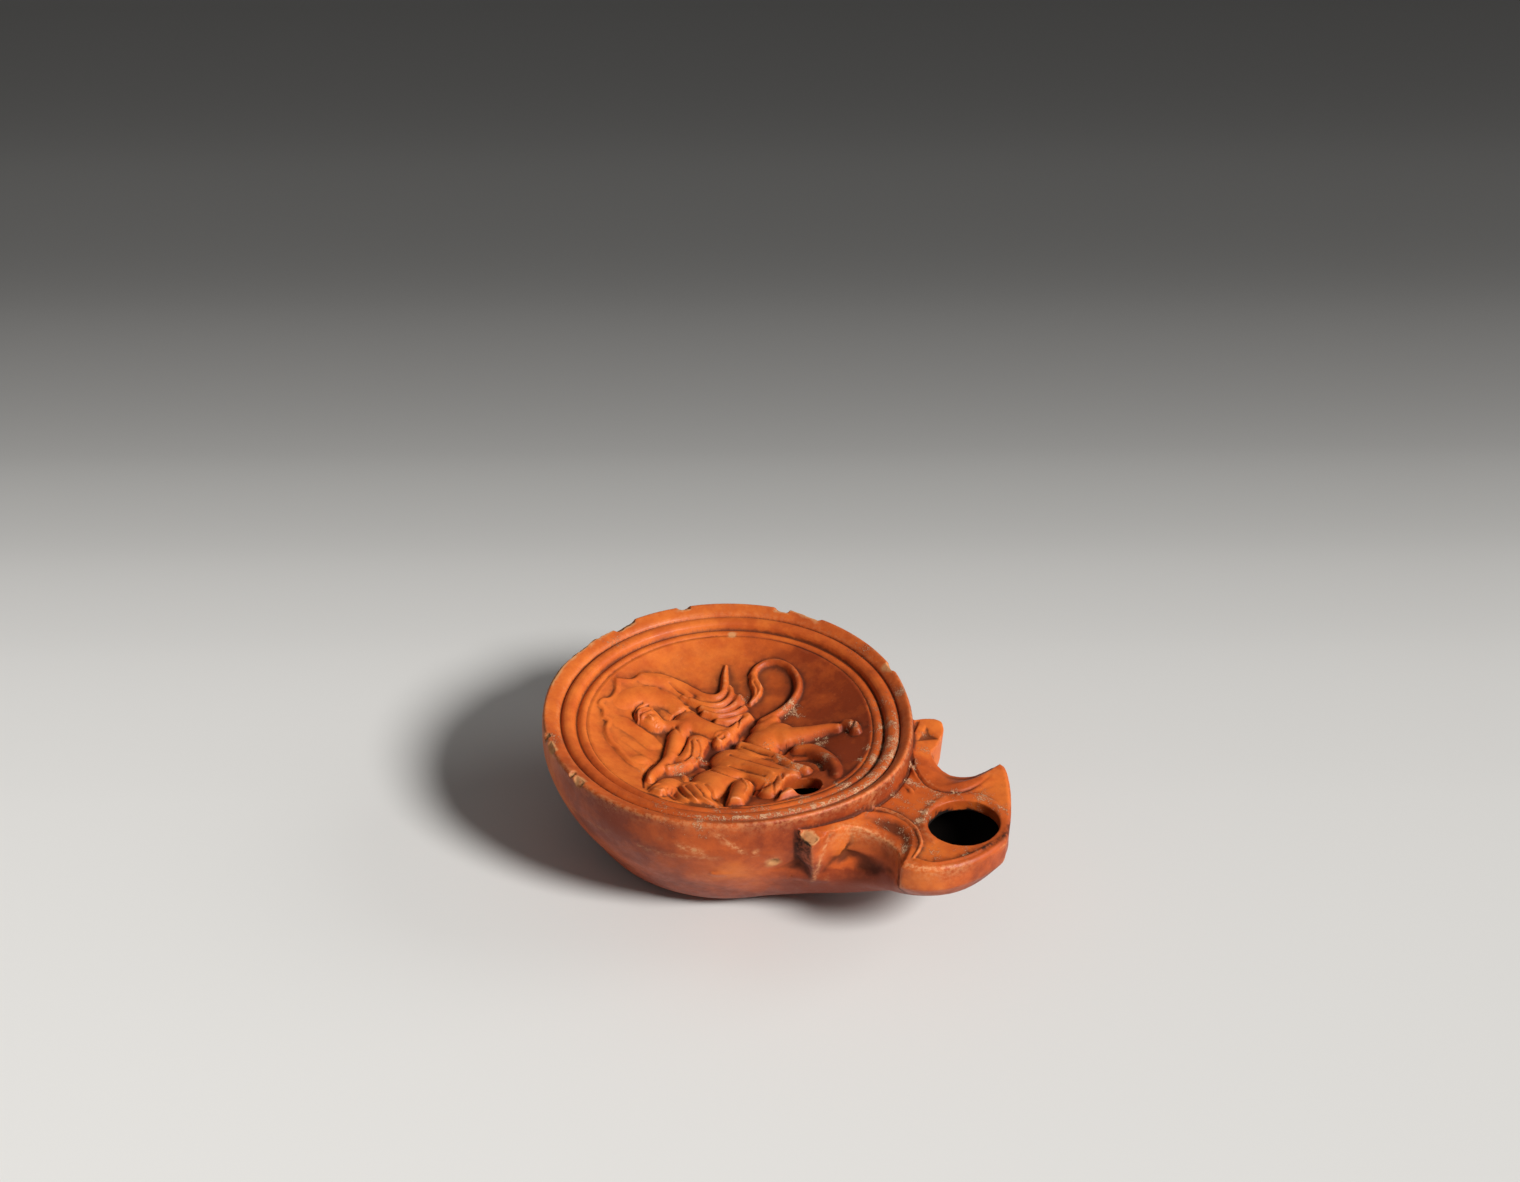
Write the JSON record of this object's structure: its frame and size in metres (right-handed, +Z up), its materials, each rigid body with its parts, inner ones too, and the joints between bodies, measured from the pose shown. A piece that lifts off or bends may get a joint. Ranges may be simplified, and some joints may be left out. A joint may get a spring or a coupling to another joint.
{
  "type": "roman oil lamp",
  "caption": "Hollow terracotta oil lamp: a round bowl, a sunken top disc with a figured relief and a filling hole, and a broad nozzle with volutes and a wick hole.",
  "frame": {"origin": "centre of the flat base, on the surface the lamp stands on", "axes": "+Z up; +X out along the nozzle; +Y to the left of the nozzle seen from above"},
  "size_m": [0.1045, 0.075, 0.031],
  "materials": {
    "slipped_terracotta": "worn satin red-orange slip"
  },
  "bodies": {
    "root": {"lamp": "slipped_terracotta"}
  },
  "joints": []
}
